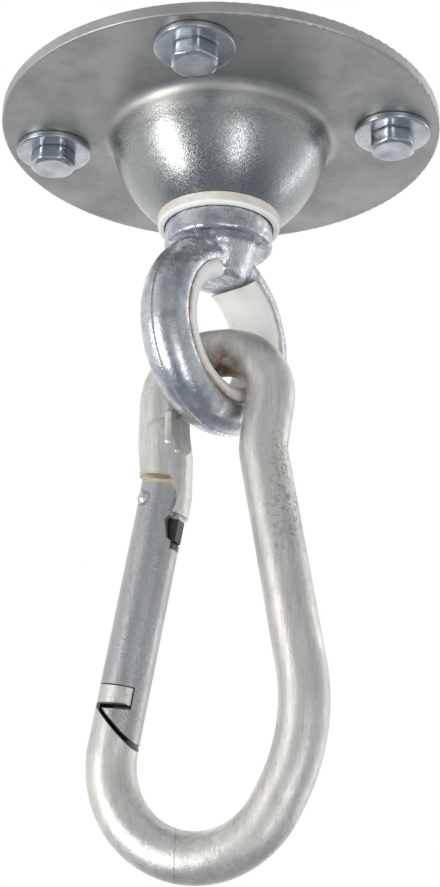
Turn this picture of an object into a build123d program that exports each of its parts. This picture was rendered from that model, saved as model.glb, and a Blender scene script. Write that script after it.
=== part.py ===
"""Swing hook: a flanged dome for the ceiling, a swivelling eye and a snap hook with a sprung gate.

Units are millimetres and +Z is up. The origin is the centre of the flange's back face, which lies
against the ceiling, so everything hangs below z = 0 and only the bolt ends stand above it.
"""
from build123d import *
from math import cos, radians, sin, sqrt, tan
import os

# Flange: one round sheet with a dome drawn out of its middle.
flange_r = 52.5
sheet_t = 3.0
rim_round = 0.5
dome_arc_r = 30.5        # radius of the dome's outer curve in section
dome_arc_offset = 3.9    # how far that curve's centre lies beyond the axis
dome_depth = 24.7        # from the back face to the underside of the dome's mouth
dome_wall = 2.5
dome_root_round = 2.9    # inside bend between the sheet's face and the dome
mouth_r = 10.5
mouth_round = 1.0

# Bolts and washers.
bolt_circle_r = 41.25
bolt_count = 4
bolt_start_angle = -8.3
bolt_hole_r = 3.3
bolt_r = 3.0
bolt_neck_r = 2.68       # plain shank between the head and the back face, as thin as the thread's pitch line
bolt_length = 10.0
bolt_chamfer = 0.7
hex_across = 10.0
hex_height = 4.0
hex_crown_r = 4.6        # round end face left by the head's chamfer
hex_turns = (33.0, 8.0, 51.0, 20.0)
washer_r = 9.0
washer_hole_r = 3.2
washer_t = 1.6
washer_bevel = 0.3

# Nylon bushes in the dome's mouth.
bush_flange_r = 14.45
bush_flange_t = 2.7
bush_cup_r = 13.0        # shallow cup that takes the top of the eye's collar
bush_cup_depth = 1.4
bush_round = 0.8
bush_fit = 0.05          # gap between the bush and the mouth it fills
running_fit = 0.08       # radial gap of a part that turns in its bush
thrust_bush_r = 12.7
thrust_bush_t = 2.0

# Steel washer and lock nut on the shank, inside the dome.
thrust_washer_r = 12.0
thrust_washer_t = 2.0
nut_across = 18.0
nut_height = 10.0
nut_crown_r = 8.6
thread_gap = 0.03
shank_tip = 1.2          # shank that stands past the nut

# Eye: shank, collar, neck and ring are one forging.
eye_yaw = 51.8           # direction of the ring's plane about Z at rest
shank_r = 6.0
collar_r = 12.7
collar_t = 6.3
collar_play = 0.3        # axial play under the bush
collar_round = 0.9
eye_centre_drop = 54.5   # back face to the centre of the ring
eye_outer_r = 23.4
eye_bore_r = 15.4
eye_half_width = 5.7
eye_inner_bulge = (1.2, 0.25)   # point of the section's curve, in from the bore and from the side
eye_outer_bulge = (1.4, 1.5)    # the same towards the rim
eye_bore_half = 3.6      # half width of the straight part of the metal bore
flash_height = 0.35
flash_width = 0.9
neck_top_r = 11.0
neck_waist_r = 8.7
neck_waist_drop = 2.8
neck_foot_r = 6.9
lump_top_half = 7.0      # half width of the lump where it leaves the metal bore
lump_foot_half = 4.2     # half width of the lump at its foot
lump_round = 1.0

# Nylon liner of the eye.
liner_bore_r = 13.2
liner_lip_r = 17.0
liner_half_width = 5.95
liner_lip_t = 0.75
liner_mouth_round = 2.2
liner_gap = 0.05
liner_end_gap = 0.35

# Hook: a round bar bent to a long loop. Its corners are written in the hook's own plane, x across
# and z up from the top of the bar's centre line, each with the radius that it is bent to.
hook_yaw = -20.0         # direction of the hook's plane about Z at rest
bar_r = 5.5
head_rise = 8.63         # centre line of the head above the bottom of the liner's bore
head_right = (15.14, 0.0, 11.47)
head_left = (-12.44, 0.0, 11.47)
kink = (11.66, -24.2, 9.0)
bow_right = (23.4, -87.7, 42.0)
bow_foot_x = 9.6
bow_foot_round = 19.5
bow_left_round = 20.0
bow_drop = 112.9
bar_turn = (-12.55, -21.0, 14.0)
bar_end = (-11.7, -28.2)  # where the bar stops inside the knuckle
leg_x = -12.03           # a point on the gate's leg
leg_z = -35.45
leg_tilt = 10.06         # how far the gate's leg leans outwards

# Forged knuckle at the hinge, an upright round in the hook's plane.
knuckle_r = 6.0
knuckle_x = -11.35
knuckle_top = -15.5
knuckle_round = 2.6
bead_r = 1.1             # ridge down the near face
bead_out = 4.8
bead_x = -9.1
bead_top = -15.5
bead_foot = -22.0
dot_place = (-7.4, -4.1, -24.2)
dot_r = 0.6
scoop_r = 30.0           # hollow on the inner side, either side of the middle
scoop_z = -16.8
scoop_reach = 4.9        # from the knuckle's axis to the floor of the hollow
scoop_turn = 65.0        # how far round from the near face its middle lies

# Hinge of the gate. Places on the leg are written as x across it, towards the inside of the hook,
# and s down along it.
pin_x = -3.05
pin_s = -0.3
pin_r = 1.2
pin_fit = 0.04
pin_head_r = 1.6
pin_head_h = 0.9
spot_face_r = 2.1        # flat round the rivet's heads
pin_seat = 3.8           # middle of the hook to the underside of a rivet head
shoulder_s = -5.75
heel_s = 2.2             # foot of the heel that stands beside the gate
heel_r = 6.3             # outer side of the heel, round the leg's axis
sweep_r = 7.6            # round edge of the gate's top, struck from the pin
sweep_angle = 35.0       # where that edge ends and the notch begins
sweep_gap = 0.3
gate_top_s = -4.0
web_half = 1.7           # half the thickness of the tongue and of the latch web
web_gap = 0.3
slot_floor_r = 12.3      # round floor of the slot, struck from the pin
bore_top_s = 9.5         # where the plunger's bore begins, inside the slot

# Cam on the tongue, as (angle, radius) from the pin.
cam_curve = ((45, 12.0), (55, 11.35), (66, 10.4), (78, 9.1), (92, 7.5), (106, 5.7), (122, 4.0), (150, 2.6), (180, 2.3))

# Notch in the gate under the heel, as (x, s).
notch_points = ((4.0, 8.0), (6.6, 9.5))

# Latch at the gate's foot.
seam_s = 41.8
seam_gap = 0.3
nose_x = 3.7
nose_gap = 0.3
nose_foot_r = 46.6       # underside of the nose, struck from the pin
under_nose_gap = 0.9
latch_top = (-3.9, 47.0)
latch_foot = (6.3, 55.2)
latch_gap = 0.7
tooth_tip_x = -2.6
tooth_tip_gap = 0.4

# Plunger and spring that close the gate.
plunger_x = 0.2
plunger_r = 1.8
plunger_gap = 0.08
plunger_tip_s = 9.42
plunger_length = 9.0
spring_bore_s = 27.0
spring_wire_r = 0.3
spring_coil_r = 1.4
spring_turns = 5

up = (Align.CENTER, Align.CENTER, Align.MIN)


# Levels along Z that several pieces share.
mouth_z = -dome_depth
mouth_inner_z = mouth_z + dome_wall
bush_bottom = mouth_z - bush_flange_t
cup_top = bush_bottom + bush_cup_depth
collar_top = cup_top - collar_play
collar_bottom = collar_top - collar_t
eye_z = -eye_centre_drop
thrust_top = mouth_inner_z + thrust_bush_t
steel_top = thrust_top + thrust_washer_t
nut_top = steel_top + nut_height
shank_top = nut_top + shank_tip
head_z = eye_z - liner_bore_r + head_rise


def flat_face(points):
    """Close a list of (x, z) points in the XZ plane into a face."""
    return make_face(Polyline([(x, 0, z) for x, z in points], close=True))


def both_ways(face, half):
    """Extrude a face that lies in the XZ plane by the same amount to both sides."""
    return extrude(face, amount=half, both=True)


def tube(outer_r, inner_r, bottom, top):
    """Plain ring about Z."""
    return Pos(0, 0, bottom) * extrude(Circle(outer_r) - Circle(inner_r), amount=top - bottom)


def rod(radius, bottom, top):
    """Plain cylinder about Z."""
    return Pos(0, 0, bottom) * Cylinder(radius, top - bottom, align=up)


def rims(solid, radius, level):
    """The circular edges of a solid at one radius and height."""
    found = []
    for edge in solid.edges().filter_by(GeomType.CIRCLE):
        if abs(edge.radius - radius) < 0.01 and abs(edge.arc_center.Z - level) < 0.01:
            found.append(edge)
    return found


def softened(face, corners):
    """Round the corners of a flat face, each given as x, y and radius."""
    for x, y, radius in corners:
        found = [v for v in face.vertices() if abs(v.X - x) < 0.01 and abs(v.Y - y) < 0.01]
        face = fillet(found, radius)
    return face


def dome_arc(curve_r, top, bottom):
    """Three points of the dome's curve between two levels, as (radius, level)."""
    levels = (top, (top + bottom) / 2, bottom)
    return [(sqrt(curve_r**2 - level**2) - dome_arc_offset, level) for level in levels]


def ceiling_plate():
    """Sheet flange and dome in one piece, with four bolt holes and the mouth."""
    outer = dome_arc(dome_arc_r, -sheet_t, mouth_z)
    inner = dome_arc(dome_arc_r - dome_wall, mouth_inner_z, 0)
    outline = [
        Line(inner[2], (flange_r, 0)),
        Line((flange_r, 0), (flange_r, -sheet_t)),
        Line((flange_r, -sheet_t), outer[0]),
        ThreePointArc(*outer),
        Line(outer[2], (mouth_r, mouth_z)),
        Line((mouth_r, mouth_z), (mouth_r, mouth_inner_z)),
        Line((mouth_r, mouth_inner_z), inner[0]),
        ThreePointArc(*inner),
    ]
    corners = [
        (flange_r, 0, rim_round),
        (flange_r, -sheet_t, rim_round),
        (*outer[0], dome_root_round),
        (*outer[2], mouth_round),
        (*inner[2], dome_root_round + dome_wall),
    ]
    section = softened(make_face(Wire(outline)), corners)
    shell = revolve(Plane.XZ * section, Axis.Z)
    for place in PolarLocations(bolt_circle_r, bolt_count, start_angle=bolt_start_angle):
        shell -= place * rod(bolt_hole_r, -sheet_t, 0)
    return shell


def bolt_washer():
    """Flat washer under the sheet, centred on its bolt."""
    low = -sheet_t - washer_t
    return chamfer(rims(tube(washer_r, washer_hole_r, low, -sheet_t), washer_r, low), washer_bevel)


def hexagon(across, bottom, top):
    return Pos(0, 0, bottom) * extrude(RegularPolygon(across / 2, 6, major_radius=False), amount=top - bottom)


def crowned(across, crown_r, bottom, top):
    """Hexagon whose corners are chamfered off round its lower face."""
    corner_r = across / sqrt(3) + 0.5
    drop = (corner_r - crown_r) * tan(radians(30))
    envelope = revolve(
        flat_face([(0, bottom), (crown_r, bottom), (corner_r, bottom + drop), (corner_r, top), (0, top)]),
        Axis.Z,
    )
    return hexagon(across, bottom, top) & envelope


def mounting_bolt(turn):
    """Hexagon bolt pushed up through its washer and the sheet, full size from the back face on."""
    seat = -sheet_t - washer_t
    tip = seat + bolt_length
    shank = rod(bolt_neck_r, seat, 0) + chamfer(rims(rod(bolt_r, 0, tip), bolt_r, tip), bolt_chamfer)
    return Rot(0, 0, turn) * crowned(hex_across, hex_crown_r, seat - hex_height, seat) + shank


def dome_bush():
    """White flanged bush that fills the dome's mouth and cups the eye's collar."""
    bush = tube(bush_flange_r, shank_r + running_fit, bush_bottom, mouth_z)
    bush = fillet(rims(bush, bush_flange_r, bush_bottom), bush_round)
    bush -= rod(bush_cup_r, bush_bottom, cup_top)
    return bush + tube(mouth_r - bush_fit, shank_r + running_fit, mouth_z, mouth_inner_z)


def thrust_bush():
    """Nylon washer inside the dome that carries the load of the nut."""
    return tube(thrust_bush_r, shank_r + running_fit, mouth_inner_z, thrust_top)


def thrust_washer():
    return tube(thrust_washer_r, shank_r + thread_gap, thrust_top, steel_top)


def lock_nut():
    """Hexagon nut on the shank's top."""
    upright = crowned(nut_across, nut_crown_r, -nut_top, -steel_top)
    return Rot(180, 0, 0) * upright - rod(shank_r + thread_gap, steel_top, nut_top)


def ring_face():
    """Section of the eye's ring: x from the bore's axis, y along it, with the forging's flash."""
    middle = (eye_outer_r + eye_bore_r) / 2
    flash_half = flash_width / 2
    flash_r = eye_outer_r + flash_height
    half = eye_half_width
    inner = (eye_bore_r + eye_inner_bulge[0], half - eye_inner_bulge[1])
    outer = (eye_outer_r - eye_outer_bulge[0], half - eye_outer_bulge[1])
    outline = [
        Line((eye_bore_r, -eye_bore_half), (eye_bore_r, eye_bore_half)),
        ThreePointArc((eye_bore_r, eye_bore_half), inner, (middle, half)),
        ThreePointArc((middle, half), outer, (eye_outer_r, flash_half)),
        Line((eye_outer_r, flash_half), (flash_r, flash_half / 2)),
        Line((flash_r, flash_half / 2), (flash_r, -flash_half / 2)),
        Line((flash_r, -flash_half / 2), (eye_outer_r, -flash_half)),
        ThreePointArc((eye_outer_r, -flash_half), (outer[0], -outer[1]), (middle, -half)),
        ThreePointArc((middle, -half), (inner[0], -inner[1]), (eye_bore_r, -eye_bore_half)),
    ]
    return make_face(Wire(outline))


def lump_face(gap, reach):
    """Keystone that fills the opening of the liner, wider by a gap and run on past both ends."""
    slope = (lump_top_half - lump_foot_half) / (eye_bore_r - liner_bore_r)
    foot_z = eye_z + liner_bore_r
    foot_half = lump_foot_half - slope * reach + gap
    top_half = lump_top_half + slope * 3 + gap
    top_z = eye_z + eye_bore_r + 3
    return flat_face([(-foot_half, foot_z - reach), (foot_half, foot_z - reach), (top_half, top_z), (-top_half, top_z)])


def swivel_eye():
    """Forged eye: ring, neck with its lump in the bore, collar and shank."""
    ring = Pos(0, 0, eye_z) * revolve(ring_face(), Axis.Y)
    collar = rod(collar_r, collar_bottom, collar_top)
    collar = fillet(rims(collar, collar_r, collar_top) + rims(collar, collar_r, collar_bottom), collar_round)
    waist_z = collar_bottom - neck_waist_drop
    foot_z = eye_z + liner_bore_r
    inside = collar_bottom + collar_t / 2
    outline = [
        Line((0, 0, inside), (neck_top_r, 0, inside)),
        Line((neck_top_r, 0, inside), (neck_top_r, 0, collar_bottom)),
        ThreePointArc(
            (neck_top_r, 0, collar_bottom),
            (neck_waist_r + 0.6, 0, collar_bottom - 1.2),
            (neck_waist_r, 0, waist_z),
        ),
        Line((neck_waist_r, 0, waist_z), (neck_foot_r, 0, foot_z + 2)),
        ThreePointArc(
            (neck_foot_r, 0, foot_z + 2),
            (neck_foot_r - 0.5, 0, foot_z + 0.6),
            (neck_foot_r - 1.8, 0, foot_z),
        ),
        Line((neck_foot_r - 1.8, 0, foot_z), (0, 0, foot_z)),
        Line((0, 0, foot_z), (0, 0, inside)),
    ]
    neck = revolve(make_face(Wire(outline)), Axis.Z)
    lower = both_ways(lump_face(0, 0), 2 * eye_half_width)
    upper = rod(2 * collar_r, eye_z + eye_bore_r, collar_top)
    neck = neck & (lower + upper)
    shank = chamfer(rims(rod(shank_r, collar_top, shank_top), shank_r, shank_top), 0.9)
    return ring + neck + collar + shank


def liner_face():
    """Section of the liner: straight bore, rounded mouths and lips over the metal's edges."""
    metal_r = eye_bore_r - liner_gap
    half = liner_half_width
    under = half - liner_lip_t
    straight = half - liner_mouth_round
    bend = liner_mouth_round * (1 - sin(radians(45)))
    lip = liner_bore_r + liner_mouth_round
    outline = [
        Line((liner_bore_r, -straight), (liner_bore_r, straight)),
        ThreePointArc((liner_bore_r, straight), (liner_bore_r + bend, half - bend), (lip, half)),
        Line((lip, half), (liner_lip_r, half)),
        Line((liner_lip_r, half), (liner_lip_r, under + 0.35)),
        Line((liner_lip_r, under + 0.35), (metal_r, eye_bore_half + 0.3)),
        Line((metal_r, eye_bore_half + 0.3), (metal_r, -eye_bore_half - 0.3)),
        Line((metal_r, -eye_bore_half - 0.3), (liner_lip_r, -under - 0.35)),
        Line((liner_lip_r, -under - 0.35), (liner_lip_r, -half)),
        Line((liner_lip_r, -half), (lip, -half)),
        ThreePointArc((lip, -half), (liner_bore_r + bend, bend - half), (liner_bore_r, -straight)),
    ]
    return make_face(Wire(outline))


def eye_liner(metal):
    """White liner in the eye's bore, open at the top round the lump."""
    ring = Pos(0, 0, eye_z) * revolve(liner_face(), Axis.Y)
    ring -= both_ways(lump_face(liner_end_gap, 1), 2 * eye_half_width)
    return ring - metal


def turned(corner, before, after):
    """Tangent points and middle of the arc that rounds a corner of the bar's centre line."""
    here = Vector(corner[0], 0, corner[1])
    back = (Vector(before[0], 0, before[1]) - here).normalized()
    onward = (Vector(after[0], 0, after[1]) - here).normalized()
    half = radians(back.get_angle(onward)) / 2
    reach = corner[2] / tan(half)
    middle = (back + onward).normalized() * (corner[2] / sin(half) - corner[2])
    return here + back * reach, here + middle, here + onward * reach


def on_leg(x, s):
    """A place on the gate's leg, in the hook's plane."""
    tilt = radians(leg_tilt)
    return leg_x + x * cos(tilt) - s * sin(tilt), leg_z - x * sin(tilt) - s * cos(tilt)


leg_place = Pos(leg_x, 0, leg_z) * Rot(0, leg_tilt, 0)


def on_leg_face(points):
    """Face in the leg's frame from (x, s) points."""
    return flat_face([(x, -s) for x, s in points])


def from_pin(radius, angle):
    """Place at a radius and angle from the pin, as (x, s); the angle runs from x towards s."""
    return pin_x + radius * cos(radians(angle)), pin_s + radius * sin(radians(angle))


def bar():
    """The bent bar, from the latch round the bow and the head into the knuckle."""
    start = on_leg(0, latch_top[1] - bar_r)
    leg_foot_x = leg_x + (leg_z + bow_drop) * -tan(radians(leg_tilt))
    stops = [
        start,
        (leg_foot_x, -bow_drop, bow_left_round),
        (bow_foot_x, -bow_drop, bow_foot_round),
        bow_right,
        kink,
        head_right,
        head_left,
        bar_turn,
        bar_end,
    ]
    pieces = []
    last = Vector(start[0], 0, start[1])
    for i in range(1, len(stops) - 1):
        first, middle, end = turned(stops[i], stops[i - 1], stops[i + 1])
        pieces.append(Line(last, first))
        pieces.append(ThreePointArc(first, middle, end))
        last = end
    pieces.append(Line(last, Vector(bar_end[0], 0, bar_end[1])))
    path = Wire(pieces)
    return sweep(Plane(origin=path @ 0, z_dir=path % 0) * Circle(bar_r), path)


def knuckle():
    """Upright round above the gate, with a bead down its near face."""
    foot = on_leg(0, slot_floor_r)[1] - knuckle_r
    upright = Pos(knuckle_x, 0, 0) * rod(knuckle_r, foot, knuckle_top)
    return fillet(upright.edges().group_by(Axis.Z)[-1], knuckle_round)


def scoop():
    """Side of a wide roller lying across, which reaches in to the floor of the hollow."""
    roller = Pos(scoop_reach + scoop_r, 0, 0) * Rot(90, 0, 0) * Cylinder(scoop_r, 4 * knuckle_r)
    return roller & rod(knuckle_r + 1, -knuckle_r - 4, knuckle_r + 1)


def beads():
    """Ridge and dot that the forging dies left on the near face."""
    ridge = Pos(bead_x, -bead_out, 0) * rod(bead_r, bead_foot, bead_top)
    for level in (bead_foot, bead_top):
        ridge += Pos(bead_x, -bead_out, level) * Sphere(bead_r)
    return ridge + Pos(*dot_place) * Sphere(dot_r)


def tongue():
    """Thin tongue under the knuckle that fills the gate's slot, with the cam at its foot."""
    cam = [from_pin(radius, angle) for angle, radius in cam_curve]
    top = -shoulder_s + 2
    right = (cam[0][0], 0, top)
    left = (cam[-1][0], 0, top)
    outline = [
        Line((cam[-1][0], 0, -cam[-1][1]), left),
        Line(left, right),
        Line(right, (cam[0][0], 0, -cam[0][1])),
        Spline([(x, 0, -s) for x, s in cam]),
    ]
    return both_ways(make_face(Wire(outline)), web_half)


def about_pin(radius):
    """Round block across the hook, struck from the pin."""
    return Pos(pin_x, 0, -pin_s) * Rot(90, 0, 0) * Cylinder(radius, 4 * knuckle_r)


def above_shoulder():
    """Region of the body above the gate, with the heel's strip beside it."""
    wide = 4 * bar_r
    region = on_leg_face([(-wide, -wide), (wide, -wide), (wide, shoulder_s), (-wide, shoulder_s)])
    strip = on_leg_face([(1, shoulder_s - 1), (wide, shoulder_s - 1), (wide, heel_s), (1, heel_s)])
    heel = both_ways(strip, wide) & rod(heel_r, -heel_s, 1 - shoulder_s)
    return both_ways(region, wide) + (heel - about_pin(sweep_r + sweep_gap))


def latch_side(gap):
    """Region above the slanting line of the latch, moved up by a gap."""
    run = sqrt((latch_foot[0] - latch_top[0]) ** 2 + (latch_foot[1] - latch_top[1]) ** 2)
    ax = (latch_foot[0] - latch_top[0]) / run
    az = (latch_foot[1] - latch_top[1]) / run
    shift_x = az * gap
    shift_s = -ax * gap
    far = 12
    first = (latch_top[0] - far * ax + shift_x, latch_top[1] - far * az + shift_s)
    second = (latch_foot[0] + far * ax + shift_x, latch_foot[1] + far * az + shift_s)
    return [first, second, (second[0], -40), (first[0], -40)]


def nose():
    """Tip of the body that the gate's foot hooks round, on its thin web."""
    top = seam_s + seam_gap
    block = on_leg_face([(-2 * bar_r, top), (nose_x, top), (nose_x, 60), (-2 * bar_r, 60)])
    tip = both_ways(block, 2 * bar_r) & rod(bar_r, -60, -top)
    tip = tip & about_pin(nose_foot_r)
    web = on_leg_face([(-bar_r, top), (nose_x - 1, top), (nose_x - 1, 57), (-bar_r, 57)])
    root_x = tooth_tip_x - tooth_tip_gap
    root = on_leg_face([(-2 * bar_r, top), (root_x, top), (root_x, 57), (-2 * bar_r, 57)])
    below = rod(bar_r, -57, -top)
    return tip + (both_ways(web, web_half) & below) + (both_ways(root, 2 * bar_r) & below)


def hook_body():
    """Bar, knuckle with its heel, tongue and nose in one piece."""
    above_latch = both_ways(on_leg_face(latch_side(0)), 3 * bar_r) & (Pos(0, 0, -60) * Box(50, 50, 24, align=up))
    body = bar() - leg_place * above_latch
    body += knuckle() & (leg_place * (above_shoulder() + tongue()))
    for turn in (scoop_turn, 180 - scoop_turn):
        body -= Pos(knuckle_x, 0, scoop_z) * Rot(0, 0, turn - 90) * scoop()
    return body + beads() + leg_place * nose() - leg_place * pin_hole()


def pin_hole():
    """Clearance for the pin."""
    return about_pin(pin_r + pin_fit)


def gate_edge():
    """What the swing past the heel and shoulder leaves of the gate's top."""
    lead = (0.9, gate_top_s)
    round_off = (2.6, gate_top_s + 0.6)
    join = from_pin(sweep_r, -12)
    bulge = from_pin(sweep_r, sweep_angle / 2)
    end = from_pin(sweep_r, sweep_angle)
    lower = [end, *notch_points, (2 * bar_r, 12), (2 * bar_r, 70), (-2 * bar_r, 70), (-2 * bar_r, gate_top_s), lead]
    outline = [
        ThreePointArc(*[(x, 0, -s) for x, s in (lead, round_off, join)]),
        ThreePointArc(*[(x, 0, -s) for x, s in (join, bulge, end)]),
    ]
    for a, b in zip(lower, lower[1:]):
        outline.append(Line((a[0], 0, -a[1]), (b[0], 0, -b[1])))
    return both_ways(make_face(Wire(outline)), 3 * bar_r)


def gate():
    """Gate: round bar, slotted at the top for the tongue and at the foot for the nose."""
    solid = rod(bar_r, -62, -gate_top_s) & gate_edge()
    solid = solid & both_ways(on_leg_face(latch_side(latch_gap)), 3 * bar_r)
    slot = web_half + web_gap
    solid -= both_ways(on_leg_face([(-9, -9), (9, -9), (9, 14), (-9, 14)]), slot) & about_pin(slot_floor_r)
    inner = nose_x + nose_gap
    pocket = both_ways(on_leg_face([(-9, seam_s), (inner, seam_s), (inner, 70), (-9, 70)]), 3 * bar_r)
    pocket = pocket & about_pin(nose_foot_r + under_nose_gap)
    solid -= pocket
    solid -= both_ways(on_leg_face([(-9, seam_s), (inner, seam_s), (inner, 70), (-9, 70)]), slot)
    solid -= both_ways(on_leg_face([(-9, seam_s), (tooth_tip_x, seam_s), (tooth_tip_x, 70), (-9, 70)]), 3 * bar_r)
    solid -= Pos(plunger_x, 0, 0) * rod(plunger_r + plunger_gap, -spring_bore_s, -bore_top_s)
    spot = rod(spot_face_r, pin_seat, 2 * bar_r)
    for turn in (90, -90):
        solid -= Pos(pin_x, 0, -pin_s) * Rot(turn, 0, 0) * spot
    return leg_place * (solid - pin_hole())


def gate_pin():
    """Rivet through both cheeks and the tongue, with a domed head at each side."""
    half = pin_seat
    tip = half + pin_head_h
    ball_r = (pin_head_r**2 + pin_head_h**2) / (2 * pin_head_h)
    mid_z = tip - ball_r + sqrt(ball_r**2 - (pin_head_r / 2) ** 2)
    outline = [ThreePointArc((0, 0, tip), (pin_head_r / 2, 0, mid_z), (pin_head_r, 0, half))]
    corners = [(pin_head_r, half), (pin_r, half), (pin_r, -half), (pin_head_r, -half)]
    for start, end in zip(corners, corners[1:]):
        outline.append(Line((start[0], 0, start[1]), (end[0], 0, end[1])))
    outline.append(ThreePointArc((pin_head_r, 0, -half), (pin_head_r / 2, 0, -mid_z), (0, 0, -tip)))
    outline.append(Line((0, 0, -tip), (0, 0, tip)))
    pin = revolve(make_face(Wire(outline)), Axis.Z)
    return leg_place * Pos(pin_x, 0, -pin_s) * Rot(90, 0, 0) * pin


def spring_plunger():
    """Round-nosed pin that the spring pushes up against the tongue's cam."""
    foot = -plunger_tip_s - plunger_length
    body = rod(plunger_r, foot, -plunger_tip_s - plunger_r)
    tip = Pos(0, 0, -plunger_tip_s - plunger_r) * Sphere(plunger_r)
    return leg_place * Pos(plunger_x, 0, 0) * (body + tip)


def gate_spring():
    """Coil spring between the plunger and the floor of its bore."""
    top = -plunger_tip_s - plunger_length - spring_wire_r - 0.05
    bottom = -spring_bore_s + spring_wire_r + 0.05
    coil = Helix((top - bottom) / spring_turns, top - bottom, spring_coil_r)
    wire = sweep(Plane(origin=coil @ 0, z_dir=coil % 0) * Circle(spring_wire_r), coil, is_frenet=True)
    return leg_place * Pos(plunger_x, 0, bottom) * wire


def save(shape, node):
    export_step(shape, "parts/" + node + ".step")


eye_place = Rot(0, 0, eye_yaw)
hook_place = Rot(0, 0, hook_yaw) * Pos(0, 0, head_z)

os.makedirs("parts", exist_ok=True)
save(ceiling_plate(), "ceiling_plate")
places = PolarLocations(bolt_circle_r, bolt_count, start_angle=bolt_start_angle)
for number, place in enumerate(places, 1):
    save(place * bolt_washer(), "bolt_washer_" + str(number))
    save(place * mounting_bolt(hex_turns[number - 1]), "mounting_bolt_" + str(number))
save(dome_bush(), "dome_bush")
save(thrust_bush(), "thrust_bush")
save(thrust_washer(), "thrust_washer")
save(lock_nut(), "lock_nut")
eye = swivel_eye()
save(eye_place * eye, "swivel_eye")
save(eye_place * eye_liner(eye), "eye_liner")
save(hook_place * hook_body(), "hook_body")
save(hook_place * gate(), "gate")
save(hook_place * gate_pin(), "gate_pin")
save(hook_place * spring_plunger(), "spring_plunger")
save(hook_place * gate_spring(), "gate_spring")
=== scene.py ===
"""Looks of the swing hook: finishes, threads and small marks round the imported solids, and the stage."""

import math

import bpy
import numpy as np
from bpy.props import FloatProperty, FloatVectorProperty, PointerProperty
from mathutils import Matrix, Vector


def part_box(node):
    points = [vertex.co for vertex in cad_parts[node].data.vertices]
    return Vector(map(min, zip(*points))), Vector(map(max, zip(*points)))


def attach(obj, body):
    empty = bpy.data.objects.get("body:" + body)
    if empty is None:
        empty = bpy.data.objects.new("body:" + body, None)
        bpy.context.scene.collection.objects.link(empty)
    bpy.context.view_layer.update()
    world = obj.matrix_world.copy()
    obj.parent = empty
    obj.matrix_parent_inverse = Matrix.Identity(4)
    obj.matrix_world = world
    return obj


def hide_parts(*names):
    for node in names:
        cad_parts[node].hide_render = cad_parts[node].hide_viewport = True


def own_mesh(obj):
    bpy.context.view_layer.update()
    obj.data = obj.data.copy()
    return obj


bl_info = {
    "name": "Swing hook finishes",
    "version": (1, 0, 0),
    "blender": (4, 5, 0),
    "location": "View3D > Sidebar > Swing hook",
    "description": "Builds the finishes and fine pieces of a ceiling swing hook",
    "category": "Object",
}

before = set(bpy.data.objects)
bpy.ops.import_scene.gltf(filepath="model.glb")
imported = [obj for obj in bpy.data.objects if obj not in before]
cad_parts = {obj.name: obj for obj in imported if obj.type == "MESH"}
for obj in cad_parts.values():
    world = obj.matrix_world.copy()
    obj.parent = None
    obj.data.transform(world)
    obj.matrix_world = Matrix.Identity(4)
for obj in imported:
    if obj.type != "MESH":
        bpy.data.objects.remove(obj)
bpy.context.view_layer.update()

BOLT_NODES = ["mounting_bolt_%d" % number for number in (1, 2, 3, 4)]
WASHER_NODES = ["bolt_washer_%d" % number for number in (1, 2, 3, 4)]

# Angles in degrees. The hook's flat faces lie at HOOK_YAW, the eye's bore at EYE_TURN, and the
# gate's leg leans by LEG_TILT.
HOOK_YAW = -20.0
EYE_TURN = 51.8
LEG_TILT = 10.06
# Places on the gate's leg, in metres across it and down along it; LEG_ORIGIN is a side and a height.
LEG_ORIGIN = (-0.01203, -0.09452)
PIN_SPOT = (-0.00305, -0.0003)
LATCH_TOP = (-0.0039, 0.0470)
LATCH_FOOT = (0.0063, 0.0552)
SLOT_HALF = 0.0026
SPRING_ACROSS = 0.0002
SPRING_HEAD = 0.01845
SPRING_FOOT = 0.02698
# Middle of the eye's bore and of the bush's hole, and the place where the hook's head bears.
BORE_CENTRE = (0, 0, -0.0545)
BUSH_CENTRE = (0, 0, -0.026)
HOOK_SEAT = (0.0, 0.0, -0.0665)
# How far each bolt's head is turned from the line to the flange's middle, in degrees.
BOLT_TURNS = (-4.0, 8.0, 38.0, 45.8)
# The photograph's camera: angles in degrees, millimetres of lens and sensor, metres of place.
CAMERA_RISE = 19.63
CAMERA_ROLL = 1.2
CAMERA_PLACE = (0.00137, -0.34494, -0.203889)
CAMERA_LENS = 65.91
CAMERA_SENSOR = 36.0
# Half the size of the backdrop, its distance from the camera, and the floor's reach and height.
BACKDROP_WIDE, BACKDROP_TALL, BACKDROP_AWAY = 0.8, 0.9, 1.1
FLOOR_REACH, FLOOR_HEIGHT = 4.0, -0.9
SQUARE = ((-1, -1), (1, -1), (1, 1), (-1, 1))
LIT_MIDDLE = (0.0, 0.0, -0.08)
UP = (0.0, 0.0, 1.0)
SIDEWAYS = (1.0, 0.0, 0.0)


def length_property(name, description, default):
    """Length in metres, for a property group."""
    return FloatProperty(name=name, description=description, default=default, unit="LENGTH")


def colour_property(name, description, default):
    """Colour in linear light, for a property group."""
    return FloatVectorProperty(
        name=name, description=description, default=default, subtype="COLOR", size=3, min=0.0, max=1.0
    )


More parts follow.
